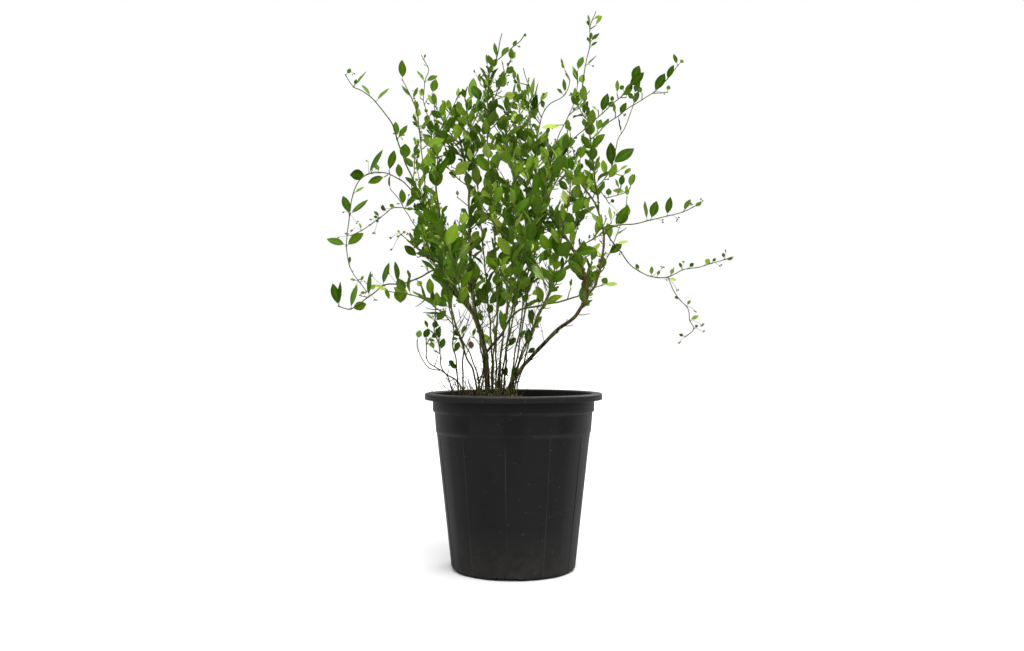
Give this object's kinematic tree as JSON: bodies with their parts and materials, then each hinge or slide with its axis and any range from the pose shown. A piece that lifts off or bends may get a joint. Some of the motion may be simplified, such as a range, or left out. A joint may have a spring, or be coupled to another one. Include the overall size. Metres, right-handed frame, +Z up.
{
  "type": "potted jojoba",
  "caption": "Leafy shrub of thin upright and arching stems with opposite oval leaves, standing in soil in a round dark tapered nursery pot.",
  "frame": {"origin": "centre of the pot's flat underside", "axes": "+Z up along the pot's axis, -Y towards the front from which the plant was seen, +X to the right"},
  "size_m": [0.5848, 0.4096, 0.7659],
  "materials": {
    "pot": "satin near-black moulded plastic, lightly scuffed",
    "soil": "matt dark brown potting mix with dry debris",
    "woody_stem": "grey-brown bark below, green leathery leaves above",
    "leafy_stem": "thin green-brown stem with satin green leathery leaves"
  },
  "bodies": {
    "root": {"pot": "pot", "soil": "soil", "stem_back_left": "leafy_stem", "stem_back_middle": "leafy_stem", "stem_back_right": "leafy_stem", "stem_centre_left": "leafy_stem", "stem_centre_right": "leafy_stem", "stem_centre_tall": "leafy_stem", "stem_front_left": "leafy_stem", "stem_front_middle": "leafy_stem", "stem_front_right": "leafy_stem", "stem_inner_arch": "leafy_stem", "stem_left_arch": "leafy_stem", "stem_left_back": "leafy_stem", "stem_left_crown": "leafy_stem", "stem_left_long": "leafy_stem", "stem_left_low": "leafy_stem", "stem_low_back_right": "leafy_stem", "stem_low_left_elbow": "leafy_stem", "stem_low_left_upright": "leafy_stem", "stem_right_branch": "woody_stem", "stem_right_low": "leafy_stem", "stem_tall_back_right": "leafy_stem", "stem_top_left": "leafy_stem", "stem_top_middle": "leafy_stem", "stem_trunk": "woody_stem", "stem_upper_arch": "leafy_stem"}
  },
  "joints": []
}
